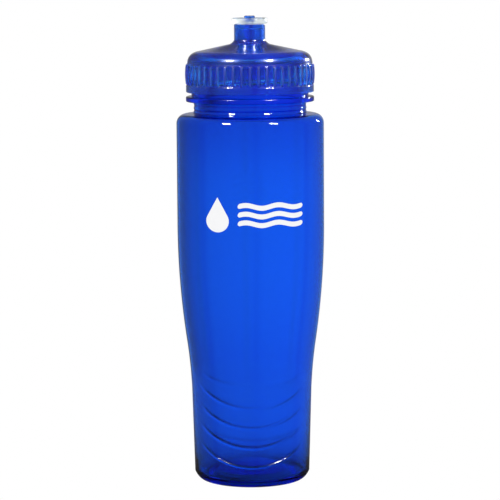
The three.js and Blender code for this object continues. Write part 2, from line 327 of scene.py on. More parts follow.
def turn_on_lathe(name, points, steps):
    """A closed piece from an outline of (radius, height) points, in millimetres."""
    bpy.ops.object.select_all(action="DESELECT")
    bpy.ops.mesh.primitive_plane_add(size=MM)
    piece = bpy.context.object
    piece.name = name
    piece.data.name = name
    bpy.ops.object.mode_set(mode="EDIT")
    bpy.ops.mesh.select_all(action="SELECT")
    bpy.ops.mesh.merge(type="CENTER")
    bpy.ops.transform.translate(value=(points[0].x * MM, 0, points[0].y * MM))
    for start, end in zip(points, points[1:]):
        step = (end - start) * MM
        bpy.ops.mesh.extrude_vertices_move(TRANSFORM_OT_translate={"value": (step.x, 0, step.y)})
    bpy.ops.object.mode_set(mode="OBJECT")
    lathe = piece.modifiers.new("lathe", "SCREW")
    lathe.angle = 2 * math.pi
    lathe.steps = steps
    lathe.render_steps = steps
    lathe.use_merge_vertices = True
    lathe.merge_threshold = WELD
    bpy.ops.object.modifier_apply(modifier=lathe.name)
    bpy.ops.object.mode_set(mode="EDIT")
    bpy.ops.mesh.select_all(action="SELECT")
    bpy.ops.mesh.remove_doubles(threshold=WELD)
    bpy.ops.mesh.normals_make_consistent(inside=False)
    bpy.ops.object.mode_set(mode="OBJECT")
    return piece


def raise_relief(piece, height_mm, share_at):
    """Raises the surface along its normals, at each point by share_at's share of height_mm."""
    shares = [share_at(v.co / MM) for v in piece.data.vertices]
    group = piece.vertex_groups.new(name="relief")
    for index, share in enumerate(shares):
        if share > 0:
            group.add([index], share, "REPLACE")
    relief = piece.modifiers.new("relief", "DISPLACE")
    relief.vertex_group = group.name
    relief.mid_level = 0
    relief.strength = height_mm * MM
    bpy.context.view_layer.objects.active = piece
    bpy.ops.object.modifier_apply(modifier=relief.name)
    piece.vertex_groups.clear()
    return sum(1 for share in shares if share > 0)


def finish_piece(piece, body, node, finish, crease_deg=35):
    """Shades a piece smooth between its creases, gives it its finish and hands it to the frame."""
    bpy.ops.object.select_all(action="DESELECT")
    piece.select_set(True)
    bpy.context.view_layer.objects.active = piece
    bpy.ops.object.shade_smooth_by_angle(angle=math.radians(crease_deg))
    piece.data.materials.clear()
    piece.data.materials.append(finish)
    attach(piece, body)
    if node:
        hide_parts(node)
    print(piece.name, "has", len(piece.data.polygons), "faces")


# %% [markdown]
# ## Finishes
# Clear plastic is a Principled shader with full transmission. Its colour comes from two places: a tint
# that light picks up at each surface, and absorption, which deepens the colour where the plastic is thick,
# as at the heel and the neck. The surface tint also holds painted shade: it darkens towards grazing angles,
# and on the bottle it deepens towards both ends, partly for the thicker wall there and partly as painted
# shade for the dimmer light. Three effects are shared by the finishes, so they are node groups:
# `height_tint_and_shade` for a colour that deepens towards both ends of a moulding, `moulded_skin` for the
# faint waviness and fine haze that the mould leaves, and `wear_and_sheen_edges` for the paler colour where
# hands, teeth and shelves rub the parts that stand furthest out, which on the support ring and the lid's
# rib crests is also painted sheen.

# %% Effect group: height tint and painted shade


def group_sockets(group, inputs, outputs):
    for name, kind, value in inputs:
        socket = group.interface.new_socket(name=name, in_out="INPUT", socket_type=kind)
        socket.default_value = value
    for name, kind in outputs:
        group.interface.new_socket(name=name, in_out="OUTPUT", socket_type=kind)


height_tint_and_shade = bpy.data.node_groups.new("height_tint_and_shade", "ShaderNodeTree")
group_sockets(
    height_tint_and_shade,
    [
        ("Thin Colour", "NodeSocketColor", (0.1, 0.4, 0.95, 1)),
        ("Thick Colour", "NodeSocketColor", (0.05, 0.2, 0.8, 1)),
        ("Low End", "NodeSocketFloat", 0.0),
        ("Low Start", "NodeSocketFloat", 0.02),
        ("High Start", "NodeSocketFloat", 0.18),
        ("High End", "NodeSocketFloat", 0.2),
    ],
    [("Colour", "NodeSocketColor")],
)
FLOW_SCALE = 22.0
FLOW_SPREAD = 0.012  # the full span, in metres, over which the plastic's flow shifts the colour
tint_in = add_node(height_tint_and_shade, "NodeGroupInput")
tint_out = add_node(height_tint_and_shade, "NodeGroupOutput")
tint_place = add_node(height_tint_and_shade, "ShaderNodeTexCoord").outputs["Object"]
tint_height = add_node(height_tint_and_shade, "ShaderNodeSeparateXYZ", i0=tint_place).outputs["Z"]
tint_flow = add_node(height_tint_and_shade, "ShaderNodeTexNoise", Vector=tint_place, Scale=FLOW_SCALE, Detail=2.0)
tint_shift = math_node(
    height_tint_and_shade, "MULTIPLY_ADD", tint_flow.outputs[0], FLOW_SPREAD, -FLOW_SPREAD / 2
)
tint_level = math_node(height_tint_and_shade, "ADD", tint_height, tint_shift)
# The colour deepens below Low Start and above High Start; on the bottle partly for its thicker wall and
# partly as painted shade for the dimmer light there.
tint_low = add_node(
    height_tint_and_shade, "ShaderNodeMapRange", {"interpolation_type": "SMOOTHSTEP"},
    Value=tint_level, From_Min=tint_in.outputs["Low End"], From_Max=tint_in.outputs["Low Start"],
    To_Min=1.0, To_Max=0.0,
).outputs[0]
tint_high = add_node(
    height_tint_and_shade, "ShaderNodeMapRange", {"interpolation_type": "SMOOTHSTEP"},
    Value=tint_level, From_Min=tint_in.outputs["High Start"], From_Max=tint_in.outputs["High End"],
    To_Min=0.0, To_Max=1.0,
).outputs[0]
tint_share = math_node(height_tint_and_shade, "ADD", tint_low, tint_high, clamp=True)
tint_mix = add_node(
    height_tint_and_shade, "ShaderNodeMix", {"data_type": "RGBA"},
    i0=tint_share, i6=tint_in.outputs["Thin Colour"], i7=tint_in.outputs["Thick Colour"],
)
height_tint_and_shade.links.new(tint_mix.outputs[2], tint_out.inputs["Colour"])
print("group:", height_tint_and_shade.name)

# %% Effect group: moulded skin
moulded_skin = bpy.data.node_groups.new("moulded_skin", "ShaderNodeTree")
group_sockets(
    moulded_skin,
    [
        ("Wave Scale", "NodeSocketFloat", 60.0),
        ("Grain Scale", "NodeSocketFloat", 900.0),
        ("Grain Share", "NodeSocketFloat", 0.1),
        ("Clean Roughness", "NodeSocketFloat", 0.02),
        ("Hazy Roughness", "NodeSocketFloat", 0.08),
    ],
    [("Roughness", "NodeSocketFloat"), ("Height", "NodeSocketFloat")],
)
HAZE_RANGE = (0.35, 0.7)  # heights of the waviness at which the haze begins and is full
skin_in = add_node(moulded_skin, "NodeGroupInput")
skin_out = add_node(moulded_skin, "NodeGroupOutput")
skin_place = add_node(moulded_skin, "ShaderNodeTexCoord").outputs["Object"]
skin_wave = add_node(
    moulded_skin, "ShaderNodeTexNoise",
    Vector=skin_place, Scale=skin_in.outputs["Wave Scale"], Detail=1.5, Roughness=0.4,
).outputs[0]
skin_grain = add_node(
    moulded_skin, "ShaderNodeTexNoise",
    Vector=skin_place, Scale=skin_in.outputs["Grain Scale"], Detail=2.0,
).outputs[0]
skin_height = math_node(
    moulded_skin, "MULTIPLY_ADD", skin_grain, skin_in.outputs["Grain Share"], skin_wave
)
skin_haze = add_node(
    moulded_skin, "ShaderNodeMapRange",
    Value=skin_wave, From_Min=HAZE_RANGE[0], From_Max=HAZE_RANGE[1],
    To_Min=skin_in.outputs["Clean Roughness"], To_Max=skin_in.outputs["Hazy Roughness"],
).outputs[0]
moulded_skin.links.new(skin_height, skin_out.inputs["Height"])
moulded_skin.links.new(skin_haze, skin_out.inputs["Roughness"])
print("group:", moulded_skin.name)

# %% Effect group: handled edges and painted sheen
wear_and_sheen_edges = bpy.data.node_groups.new("wear_and_sheen_edges", "ShaderNodeTree")
group_sockets(
    wear_and_sheen_edges,
    [
        ("Inner Radius", "NodeSocketFloat", 0.03),
        ("Outer Radius", "NodeSocketFloat", 0.031),
        ("Low", "NodeSocketFloat", 0.0),
        ("High", "NodeSocketFloat", 0.1),
        ("Fade", "NodeSocketFloat", 0.0005),
        ("Scuff Scale", "NodeSocketFloat", 350.0),
    ],
    [("Mask", "NodeSocketFloat")],
)
SCUFF_CONTRAST = 0.8
SCUFF_FLOOR = 0.4  # wear where the scuffs are weakest
edge_in = add_node(wear_and_sheen_edges, "NodeGroupInput")
edge_out = add_node(wear_and_sheen_edges, "NodeGroupOutput")
edge_place = add_node(wear_and_sheen_edges, "ShaderNodeTexCoord").outputs["Object"]
edge_parts = add_node(wear_and_sheen_edges, "ShaderNodeSeparateXYZ", i0=edge_place)
edge_flat = add_node(
    wear_and_sheen_edges, "ShaderNodeCombineXYZ", X=edge_parts.outputs["X"], Y=edge_parts.outputs["Y"]
).outputs[0]
edge_radius = add_node(
    wear_and_sheen_edges, "ShaderNodeVectorMath", {"operation": "LENGTH"}, i0=edge_flat
).outputs["Value"]
edge_reach = add_node(
    wear_and_sheen_edges, "ShaderNodeMapRange", {"interpolation_type": "SMOOTHSTEP"},
    Value=edge_radius,
    From_Min=edge_in.outputs["Inner Radius"], From_Max=edge_in.outputs["Outer Radius"],
).outputs[0]
edge_above = math_node(wear_and_sheen_edges, "SUBTRACT", edge_parts.outputs["Z"], edge_in.outputs["Low"])
edge_below = math_node(wear_and_sheen_edges, "SUBTRACT", edge_in.outputs["High"], edge_parts.outputs["Z"])
edge_band = add_node(
    wear_and_sheen_edges, "ShaderNodeMapRange", {"interpolation_type": "SMOOTHSTEP"},
    Value=math_node(wear_and_sheen_edges, "MINIMUM", edge_above, edge_below),
    From_Min=0.0, From_Max=edge_in.outputs["Fade"],
).outputs[0]
edge_scuffs = add_node(
    wear_and_sheen_edges, "ShaderNodeTexNoise",
    Vector=edge_place, Scale=edge_in.outputs["Scuff Scale"], Detail=3.0,
).outputs[0]
edge_share = math_node(
    wear_and_sheen_edges, "MULTIPLY_ADD", edge_scuffs, SCUFF_CONTRAST, SCUFF_FLOOR, clamp=True
)
edge_share = math_node(wear_and_sheen_edges, "MULTIPLY", edge_share, edge_band)
edge_share = math_node(wear_and_sheen_edges, "MULTIPLY", edge_share, edge_reach)
wear_and_sheen_edges.links.new(edge_share, edge_out.inputs["Mask"])
print("group:", wear_and_sheen_edges.name)

# %% Material helpers
COAT_ROUGHNESS = 0.03


def new_finish(name):
    """A material with only its shader and output."""
    finish = bpy.data.materials.new(name)
    finish.use_nodes = True
    tree = finish.node_tree
    tree.nodes.clear()
    shader = add_node(tree, "ShaderNodeBsdfPrincipled")
    output = add_node(tree, "ShaderNodeOutputMaterial")
    tree.links.new(shader.outputs[0], output.inputs["Surface"])
    return finish, tree, shader, output


def use_group(tree, group, **inputs):
    return add_node(tree, "ShaderNodeGroup", {"node_tree": group}, **inputs)


def add_skin(tree, shader, bump_mm, **inputs):
    """Feeds the shader's roughness and normal from the moulded skin."""
    skin = use_group(tree, moulded_skin, **inputs)
    bump = add_node(
        tree, "ShaderNodeBump",
        Strength=1.0, Distance=bump_mm * MM, Height=skin.outputs["Height"],
    )
    tree.links.new(skin.outputs["Roughness"], shader.inputs["Roughness"])
    tree.links.new(bump.outputs[0], shader.inputs["Normal"])
    return skin


def clear_plastic(name, ior, density, absorbs, tint, skin, bump_mm, edge, wear_and_sheen, gloss=0.0):
    """Clear coloured plastic: tinted at its surfaces, darkened towards grazing angles by painted shade, and
    absorbing in its thickness.
    """
    finish, tree, shader, output = new_finish(name)
    shader.inputs["Transmission Weight"].default_value = 1.0
    shader.inputs["IOR"].default_value = ior
    shader.inputs["Coat Weight"].default_value = gloss
    shader.inputs["Coat Roughness"].default_value = COAT_ROUGHNESS
    colour = use_group(tree, height_tint_and_shade, **tint)
    # Painted shade: towards grazing angles the colour darkens to the edge colour, partly for the longer
    # path through the wall and partly for the dark band along the edges.
    facing = add_node(tree, "ShaderNodeLayerWeight", Blend=0.5).outputs["Facing"]
    grazing_shade_colour, edge_start, edge_end = edge
    edge_share = add_node(
        tree, "ShaderNodeMapRange", {"interpolation_type": "SMOOTHSTEP"},
        Value=facing, From_Min=edge_start, From_Max=edge_end,
    ).outputs[0]
    shaded_colour = add_node(
        tree, "ShaderNodeMix", {"data_type": "RGBA"},
        i0=edge_share, i6=colour.outputs["Colour"], i7=grazing_shade_colour,
    ).outputs[2]
    roughness = add_skin(tree, shader, bump_mm, **skin).outputs["Roughness"]
    # Each rubbed band is paler and rougher; on the support ring and the lid's rib crests the paler colour
    # is also painted sheen.
    for rub in wear_and_sheen:
        wear = use_group(tree, wear_and_sheen_edges, **rub["place"]).outputs["Mask"]
        shaded_colour = add_node(
            tree, "ShaderNodeMix", {"data_type": "RGBA"}, i0=wear, i6=shaded_colour, i7=rub["colour"]
        ).outputs[2]
        roughness = math_node(tree, "MULTIPLY_ADD", wear, rub["roughness"], roughness)
    tree.links.new(shaded_colour, shader.inputs["Base Color"])
    tree.links.new(roughness, shader.inputs["Roughness"])
    depth = add_node(tree, "ShaderNodeVolumeAbsorption", Color=absorbs, Density=density)
    tree.links.new(depth.outputs[0], output.inputs["Volume"])
    return finish


# %% Bottle plastic
PLASTIC_IOR = 1.5
BOTTLE_DENSITY = 500.0  # how strongly a metre of the plastic would absorb
bottle_plastic = clear_plastic(
    "bottle_plastic", PLASTIC_IOR, BOTTLE_DENSITY, (0.05, 0.70, 0.98, 1),
    tint={
        # painted shade: deepens below 115 mm and above 150 mm, partly for the thicker heel and shoulder and
        # partly for the dimmer light there
        "Thin_Colour": (0.065, 0.35, 0.95, 1),
        "Thick_Colour": (0.05, 0.265, 0.85, 1),
        "Low_End": 0.0,
        "Low_Start": 0.115,
        "High_Start": 0.150,
        "High_End": 0.194,
    },
    skin={
        "Wave_Scale": 45.0,
        "Grain_Scale": 700.0,
        "Grain_Share": 0.03,
        "Clean_Roughness": 0.012,
        "Hazy_Roughness": 0.05,
    },
    bump_mm=0.012,
    # painted shade: darker towards grazing angles
    edge=((0.03, 0.20, 0.60, 1), 0.15, 0.95),
    wear_and_sheen=[
        {
            # support ring: paler and rougher, for scuffs and as painted sheen
            "colour": (0.20, 0.45, 0.95, 1),
            "roughness": 0.15,
            "place": {
                "Inner_Radius": 0.0327,
                "Outer_Radius": 0.0331,
                "Low": 0.1975,
                "High": 0.2006,
            },
        },
        {
            "colour": (0.07, 0.33, 0.92, 1),
            "roughness": 0.15,
            "place": {
                "Inner_Radius": 0.0290,
                "Outer_Radius": 0.0302,
                "Low": 0.0085,
                "High": 0.060,
                "Fade": 0.006,
            },
        },
    ],
)

# %% Lid plastic
LID_DENSITY = 250.0
lid_plastic = clear_plastic(
    "lid_plastic", PLASTIC_IOR, LID_DENSITY, (0.05, 0.66, 0.98, 1),
    tint={
        "Thin_Colour": (0.08, 0.42, 0.94, 1),
        "Thick_Colour": (0.05, 0.33, 0.99, 1),
        "Low_End": 0.1,
        "Low_Start": 0.12,
        "High_Start": 0.2265,
        "High_End": 0.2305,
    },
    skin={
        "Wave_Scale": 80.0,
        "Grain_Scale": 900.0,
        "Grain_Share": 0.05,
        "Clean_Roughness": 0.18,
        "Hazy_Roughness": 0.25,
    },
    bump_mm=0.012,
    # painted shade: darker towards grazing angles
    edge=((0.05, 0.17, 0.74, 1), 0.08, 0.65),
    wear_and_sheen=[{
        # rib crests: paler and rougher, for rubbing and as painted sheen for their lighter streaks
        "colour": (0.40, 0.50, 0.95, 1),
        "roughness": 0.4,
        "place": {
            "Inner_Radius": 0.0328,
            "Outer_Radius": 0.0331,
            "Low": 0.2066,
            "High": 0.2168,
        },
    }],
    gloss=1.0,
)

# %% Mouthpiece, washer and ink
MOUTH_IOR = 1.45
mouthpiece_plastic, mouth_tree, mouth_shader, _ = new_finish("mouthpiece_plastic")
mouth_shader.inputs["Transmission Weight"].default_value = 1.0
mouth_shader.inputs["IOR"].default_value = MOUTH_IOR
mouth_tint = use_group(
    mouth_tree, height_tint_and_shade,
    Thin_Colour=(0.76, 0.85, 0.84, 1), Thick_Colour=(0.80, 0.92, 0.99, 1),
    Low_End=0.2365, Low_Start=0.2385, High_Start=0.25, High_End=0.26,
)
mouth_wear = use_group(
    mouth_tree, wear_and_sheen_edges, Inner_Radius=0.0084, Outer_Radius=0.0093, Low=0.23, High=0.25
)
mouth_colour = add_node(
    mouth_tree, "ShaderNodeMix", {"data_type": "RGBA"},
    i0=mouth_wear.outputs["Mask"], i6=mouth_tint.outputs[0], i7=(0.88, 0.93, 0.92, 1),
).outputs[2]
mouth_tree.links.new(mouth_colour, mouth_shader.inputs["Base Color"])
add_skin(
    mouth_tree, mouth_shader, 0.01,
    Wave_Scale=220.0, Grain_Scale=2500.0, Grain_Share=0.25,
    Clean_Roughness=0.36, Hazy_Roughness=0.5,
)

washer_foam, washer_tree, washer_shader, _ = new_finish("washer_foam")
washer_tint = use_group(
    washer_tree, height_tint_and_shade,
    Thin_Colour=(0.02, 0.07, 0.42, 1), Thick_Colour=(0.015, 0.05, 0.33, 1),
    Low_End=0.217, Low_Start=0.2184, High_Start=0.2188, High_End=0.2195,
)
washer_tree.links.new(washer_tint.outputs[0], washer_shader.inputs["Base Color"])
add_skin(
    washer_tree, washer_shader, 0.05,
    Wave_Scale=500.0, Grain_Scale=3000.0, Grain_Share=0.6,
    Clean_Roughness=0.6, Hazy_Roughness=0.8,
)

white_ink, ink_tree, ink_shader, _ = new_finish("white_ink")
ink_tint = use_group(
    ink_tree, height_tint_and_shade,
    Thin_Colour=(0.96, 0.965, 0.98, 1), Thick_Colour=(0.92, 0.93, 0.95, 1),
    Low_End=0.132, Low_Start=0.136, High_Start=0.149, High_End=0.153,
)
ink_tree.links.new(ink_tint.outputs[0], ink_shader.inputs["Base Color"])
add_skin(
    ink_tree, ink_shader, 0.008,
    Wave_Scale=300.0, Grain_Scale=4000.0, Grain_Share=0.5,
    Clean_Roughness=0.45, Hazy_Roughness=0.6,
)
print("finishes:", [m.name for m in bpy.data.materials])

# %% [markdown]
# ## The blown bottle
# The bottle is one blown moulding. Its foot ring stands on the table, the middle of the base is pushed in,
# the grip below is narrower than the body, and the neck carries a support ring, a stop bead and the
# thread. The outline goes up the outside and down the inside, from axis to axis, so the spin closes it.

# %% Bottle's driving sizes, in millimetres
BODY_RADIUS = bottle_high.x / MM
RIM_HEIGHT = bottle_high.z / MM
WALL = 0.9
SHOULDER_HEIGHT = 191.4
SHOULDER_ROUND = 4.8
GRIP_TOP = (31.25, 48.5)
GRIP_CORNER = (31.9, 61.5)
WAIST = (33.6, 73)
CURVE_CORNER_HEIGHT = 103.5
CURVE_TOP = 133.5
HEEL = (30.0, 4.3)
HEEL_CORNER = (28.2, 0.4)
FOOT_OUTER = 25.5
FOOT_INNER = 23.1
PUSH_UP = 6.0
PUSH_UP_WALL = 1.8
BASE_WALL = 2.3
HEEL_INSIDE = Vector((29.15, 6.0))
NECK_RADIUS = 28.8  # in the hollows between its beads
NECK_BEAD_RADIUS = 29.2
NECK_BORE = 27.1
FINISH_RADIUS = 29.35
RING_RADIUS = 33.1
RING_LOW = 197.8
RING_HIGH = 200.4
STOP_RADIUS = 30.2
STOP_TOP = 203.8
GRIP_BEND_STEPS = 10
CURVE_STEPS = 22
SHOULDER_STEPS = 12


def side_wall(inset):
    """The wall from the heel to the top of the shoulder, moved inwards by inset."""
    def inward(point):
        return Vector((point[0] - inset, point[1]))

    body = BODY_RADIUS - inset
    points = [inward(HEEL)]
    points += bend(inward(GRIP_TOP), inward(GRIP_CORNER), inward(WAIST), GRIP_BEND_STEPS)
    points += bend(
        inward(WAIST), (body, CURVE_CORNER_HEIGHT), (body, CURVE_TOP), CURVE_STEPS
    )[1:]
    centre = Vector((BODY_RADIUS - SHOULDER_ROUND, SHOULDER_HEIGHT - SHOULDER_ROUND))
    for k in range(SHOULDER_STEPS + 1):
        angle = math.radians(90 * k / SHOULDER_STEPS)
        points.append(centre + Vector((math.cos(angle), math.sin(angle))) * (SHOULDER_ROUND - inset))
    return points


# %% Bottle's outline
GRIP_RELIEF_LOW = 9
GRIP_RELIEF_HIGH = 57
GRIP_SPACING = 0.3
THREAD_SPACING = 0.4

foot = bend((0, PUSH_UP), (15, PUSH_UP), (FOOT_INNER - 1.2, 0.9), 9)
foot += bend((FOOT_INNER - 0.6, 0.35), (FOOT_INNER, 0), (FOOT_INNER + 0.8, 0), 4)
foot += bend((FOOT_OUTER, 0), HEEL_CORNER, HEEL, 12)[:-1]
outside = refine(side_wall(0), GRIP_RELIEF_LOW, GRIP_RELIEF_HIGH, GRIP_SPACING)
neck = soften([
    (*outside[-1], 0),
    (30.2, 191.45, 0.8),
    (29.2, 191.75, 0.3),
    (29.25, 192.5, 0.45),
    (NECK_RADIUS, 193.4, 0.6),
    (NECK_BEAD_RADIUS, 194.5, 0.7),
    (NECK_RADIUS, 195.7, 0.6),
    (NECK_BEAD_RADIUS, 196.9, 0.6),
    (NECK_RADIUS, RING_LOW, 0.2),
    (RING_RADIUS, RING_LOW, 0.6),
    (RING_RADIUS, RING_HIGH, 0.7),
    (STOP_RADIUS, RING_HIGH + 0.15, 0.5),
    (STOP_RADIUS, STOP_TOP, 0.5),
    (FINISH_RADIUS, STOP_TOP + 0.1, 0.3),
    (FINISH_RADIUS, RIM_HEIGHT, 0.6),
    ((FINISH_RADIUS + NECK_BORE) / 2, RIM_HEIGHT, 0),
])[1:]
neck = refine(neck, STOP_TOP + 1, RIM_HEIGHT - 1, THREAD_SPACING)
bore = soften([
    (*neck[-1], 0),
    (NECK_BORE, RIM_HEIGHT, 0.6),
    (NECK_BORE, 194.0, 2.0),
    (28.6, SHOULDER_HEIGHT - WALL, 1.5),
    (33.0, SHOULDER_HEIGHT - WALL, 0),
])[1:-1]
inside = [p for p in reversed(side_wall(WALL)) if p.y > HEEL_INSIDE.y]
base_inside = bend(HEEL_INSIDE, (28.7, BASE_WALL), (23.5, BASE_WALL), 10)
push_up_inside = PUSH_UP + PUSH_UP_WALL
base_inside += bend((19.5, 3.4), (13, push_up_inside), (0, push_up_inside), 8)
bottle_outline = foot + outside + neck + bore + inside + base_inside
print("bottle outline:", len(bottle_outline), "points")

# %% Spin the bottle
BOTTLE_STEPS = 208
bottle = turn_on_lathe("blown_bottle", bottle_outline, BOTTLE_STEPS)
print("bottle faces:", len(bottle.data.polygons))

# %% [markdown]
# ## Relief on the bottle
# The grip has shallow curved ribs, front and back, that rise towards the sides and fade out there. The
# neck has a right-handed thread. Both are raised from the fine rows of the spun wall by a Displace
# modifier that a vertex group guides, which keeps the moulding one closed skin.

# %% Grip ribs
GRIP_RIB_LOWEST = 11.2
GRIP_RIB_PITCH = 10.3
GRIP_RIBS = 4
GRIP_RIB_RISE = 22
GRIP_RIB_HALF_WIDTH = 0.85
GRIP_RIB_HEIGHT = 0.56
GRIP_RIB_UPPER_SHARE = 0.6  # of that height, for the ribs above the lowest one
GRIP_RIB_UPPER_HALF_WIDTH = 1.35
GRIP_FACING = (0.5, 0.8)  # how far round the ribs fade out and are at their highest
GRIP_WALL_SPLIT = 0.45  # how far below the outer wall the two skins are told apart


def smooth(value):
    value = min(1, max(0, value))
    return value * value * (3 - 2 * value)


def grip_wall_radius(height):
    """Radius of the outer wall on the straight part of the grip."""
    share = (height - HEEL[1]) / (GRIP_TOP[1] - HEEL[1])
    return HEEL[0] + (GRIP_TOP[0] - HEEL[0]) * min(1, share)


def grip_rib_share(place):
    """1 on the crest of a grip rib and 0 between the ribs, on the wall's outer skin."""
    radius = math.hypot(place.x, place.y)
    if not GRIP_RELIEF_LOW - 2 < place.z < GRIP_RELIEF_HIGH:
        return 0
    if radius < grip_wall_radius(place.z) - GRIP_WALL_SPLIT:
        return 0
    facing = abs(place.y) / radius
    level = place.z - GRIP_RIB_RISE * (1 - facing) - GRIP_RIB_LOWEST
    nearest = min(GRIP_RIBS - 1, max(0, round(level / GRIP_RIB_PITCH)))
    away = abs(level - nearest * GRIP_RIB_PITCH)
    fade = smooth((facing - GRIP_FACING[0]) / (GRIP_FACING[1] - GRIP_FACING[0]))
    if nearest > 0:
        return smooth(1 - away / GRIP_RIB_UPPER_HALF_WIDTH) * fade * GRIP_RIB_UPPER_SHARE
    return smooth(1 - away / GRIP_RIB_HALF_WIDTH) * fade


touched = raise_relief(bottle, GRIP_RIB_HEIGHT, grip_rib_share)
print("grip ribs:", GRIP_RIBS, "on each side,", touched, "points raised")

# %% Threads
THREAD_PITCH = 5
THREAD_ROOT = 2.2
THREAD_CREST = 1.2
THREAD_START = 207.2
THREAD_TURNS = 1.25
THREAD_HEIGHT = 1.55
THREAD_RUN_OUT = 0.12  # of a turn


def thread_share(place, start, first_turn, turns):
    """1 on the flat crest of a screw thread, sloping to 0 at its root."""
    turn = (math.atan2(place.y, place.x) / (2 * math.pi)) % 1
    best = 0
    for whole in range(3):
        along = turn + whole - first_turn
        if not 0 <= along <= turns:
            continue
        away = abs(place.z - start - THREAD_PITCH * (turn + whole))
        flank = (THREAD_ROOT / 2 - away) / ((THREAD_ROOT - THREAD_CREST) / 2)
        run_out = smooth(min(along, turns - along) / THREAD_RUN_OUT)
        best = max(best, min(1, max(0, flank)) * run_out)
    return best


def neck_thread_share(place):
    if not STOP_TOP < place.z < RIM_HEIGHT or math.hypot(place.x, place.y) < FINISH_RADIUS - 0.1:
        return 0
    return thread_share(place, THREAD_START, 0, THREAD_TURNS)


touched = raise_relief(bottle, THREAD_HEIGHT, neck_thread_share)
print("neck thread:", THREAD_TURNS, "turns,", touched, "points raised")
finish_piece(bottle, "bottle", "bottle_body", bottle_plastic)

# %% [markdown]
# ## The screw lid
# The lid is one moulding too: skirt, grip ribs, dome, spout, web and pin. Its outline starts on the axis
# under the web, goes out under the dome, down the thread's bore, up the ribbed skirt, over the dome and up
# the spout, then down the spout's bore, across the web and up the pin. The number of spin steps is a
# multiple of the ribs, so that every rib has the same shape.

# %% Lid's driving sizes, in millimetres
LID_BOTTOM = lid_low.z / MM
PIN_TOP = lid_high.z / MM
LID_BORE = 31.25
SEAT_BORE = 30.7
SEAT_START = 215.6
SEAT_HEIGHT = 219.2
SHELL_RADIUS = 32.45
LID_RADIUS = 33.0
BAND_TOP = 206.2
DOME_EDGE = (32.3, 217.8)
DOME_CORNER = (31.9, 222.9)
DOME_FLAT = (26.1, 223.7)
DOME_WALL = 1.9
SPOUT_FOOT = (10.3, 227.15)
SPOUT_FILLET_CORNER = 228.4
SPOUT_FILLET_TOP = 229.6
SPOUT_RADIUS = 8.0
SPOUT_BORE = 6.5
TRACK_RADIUS = 7.05
TRACK_TOP = 235.2
SPOUT_TOP = 237.4
SPOUT_BOTTOM = 222.7
WEB_TOP = 225.0
PIN_RADIUS = 2.8
PORT_INNER = 3.6
PORT_OUTER = 6.4
PORTS = 3
PORT_ANGLE = 86  # degrees that each port spans

# %% Lid's outline
under_dome = soften([
    (0, SPOUT_BOTTOM, 0),
    (PORT_INNER, SPOUT_BOTTOM, 0),
    (PORT_OUTER, SPOUT_BOTTOM, 0),
    (SPOUT_RADIUS, SPOUT_BOTTOM, 0.35),
    (SPOUT_RADIUS, SPOUT_FOOT[1] - DOME_WALL, 0.5),
    (DOME_FLAT[0] - 0.6, DOME_FLAT[1] - DOME_WALL, 1.0),
    (DOME_FLAT[0], SEAT_HEIGHT, 0.6),
    (SEAT_BORE, SEAT_HEIGHT, 0.3),
    (SEAT_BORE, SEAT_START, 0.3),
    (LID_BORE, SEAT_START - 0.6, 0.3),
    (LID_BORE, LID_BOTTOM, 0.3),
    (LID_RADIUS, LID_BOTTOM, 0.5),
    (LID_RADIUS, BAND_TOP, 0.3),
    (SHELL_RADIUS, BAND_TOP + 0.4, 0.3),
    (SHELL_RADIUS, DOME_EDGE[1] - 0.6, 0.3),
    (*DOME_EDGE, 0),
])
dome = bend(DOME_EDGE, DOME_CORNER, DOME_FLAT, 14)[1:]
spout = bend(
    SPOUT_FOOT, (SPOUT_RADIUS, SPOUT_FILLET_CORNER), (SPOUT_RADIUS, SPOUT_FILLET_TOP), 8
)
spout += soften([
    (SPOUT_RADIUS, SPOUT_FILLET_TOP + 0.1, 0),
    (SPOUT_RADIUS, SPOUT_TOP, 0.45),
    (SPOUT_BORE, SPOUT_TOP, 0.3),
    (SPOUT_BORE, TRACK_TOP, 0.2),
    (TRACK_RADIUS, TRACK_TOP - 0.1, 0.2),
    (TRACK_RADIUS, WEB_TOP, 0.4),
    (PORT_OUTER, WEB_TOP, 0),
    (PORT_INNER, WEB_TOP, 0),
    (PIN_RADIUS, WEB_TOP, 0.4),
    (PIN_RADIUS, PIN_TOP, 0.7),
    (0, PIN_TOP, 0),
])
lid_outline = refine(under_dome, LID_BOTTOM + 1, SEAT_START - 1, THREAD_SPACING * 1.1)
lid_outline += dome + spout
print("lid outline:", len(lid_outline), "points")

# %% Spin the lid
RIB_COUNT = 48
STEPS_PER_RIB = 10
lid = turn_on_lathe("ribbed_lid", lid_outline, RIB_COUNT * STEPS_PER_RIB)
print("lid faces:", len(lid.data.polygons))

# %% Ports in the web


def port_of(place):
    """Which port a point of the web lies in, or None on a spoke."""
    sector = 360 / PORTS
    turn = math.degrees(math.atan2(place.y, place.x)) % 360
    if abs(turn % sector - sector / 2) > PORT_ANGLE / 2:
        return None
    return int(turn // sector)


def open_port(piece, port):
    """Deletes a port's faces on both sides of the web and bridges the two edges left."""
    for face in piece.data.polygons:
        place = face.center / MM
        on_web = min(abs(place.z - WEB_TOP), abs(place.z - SPOUT_BOTTOM)) < 0.05
        between = PORT_INNER < math.hypot(place.x, place.y) < PORT_OUTER
        face.select = on_web and between and port_of(place) == port
    bpy.ops.object.mode_set(mode="EDIT")
    bpy.ops.mesh.select_mode(type="FACE")
    bpy.ops.mesh.delete(type="FACE")
    bpy.ops.mesh.select_mode(type="EDGE")
    bpy.ops.mesh.select_all(action="DESELECT")
    bpy.ops.mesh.select_non_manifold()
    bpy.ops.mesh.bridge_edge_loops()
    bpy.ops.mesh.select_mode(type="VERT")
    bpy.ops.mesh.select_all(action="DESELECT")
    bpy.ops.object.mode_set(mode="OBJECT")


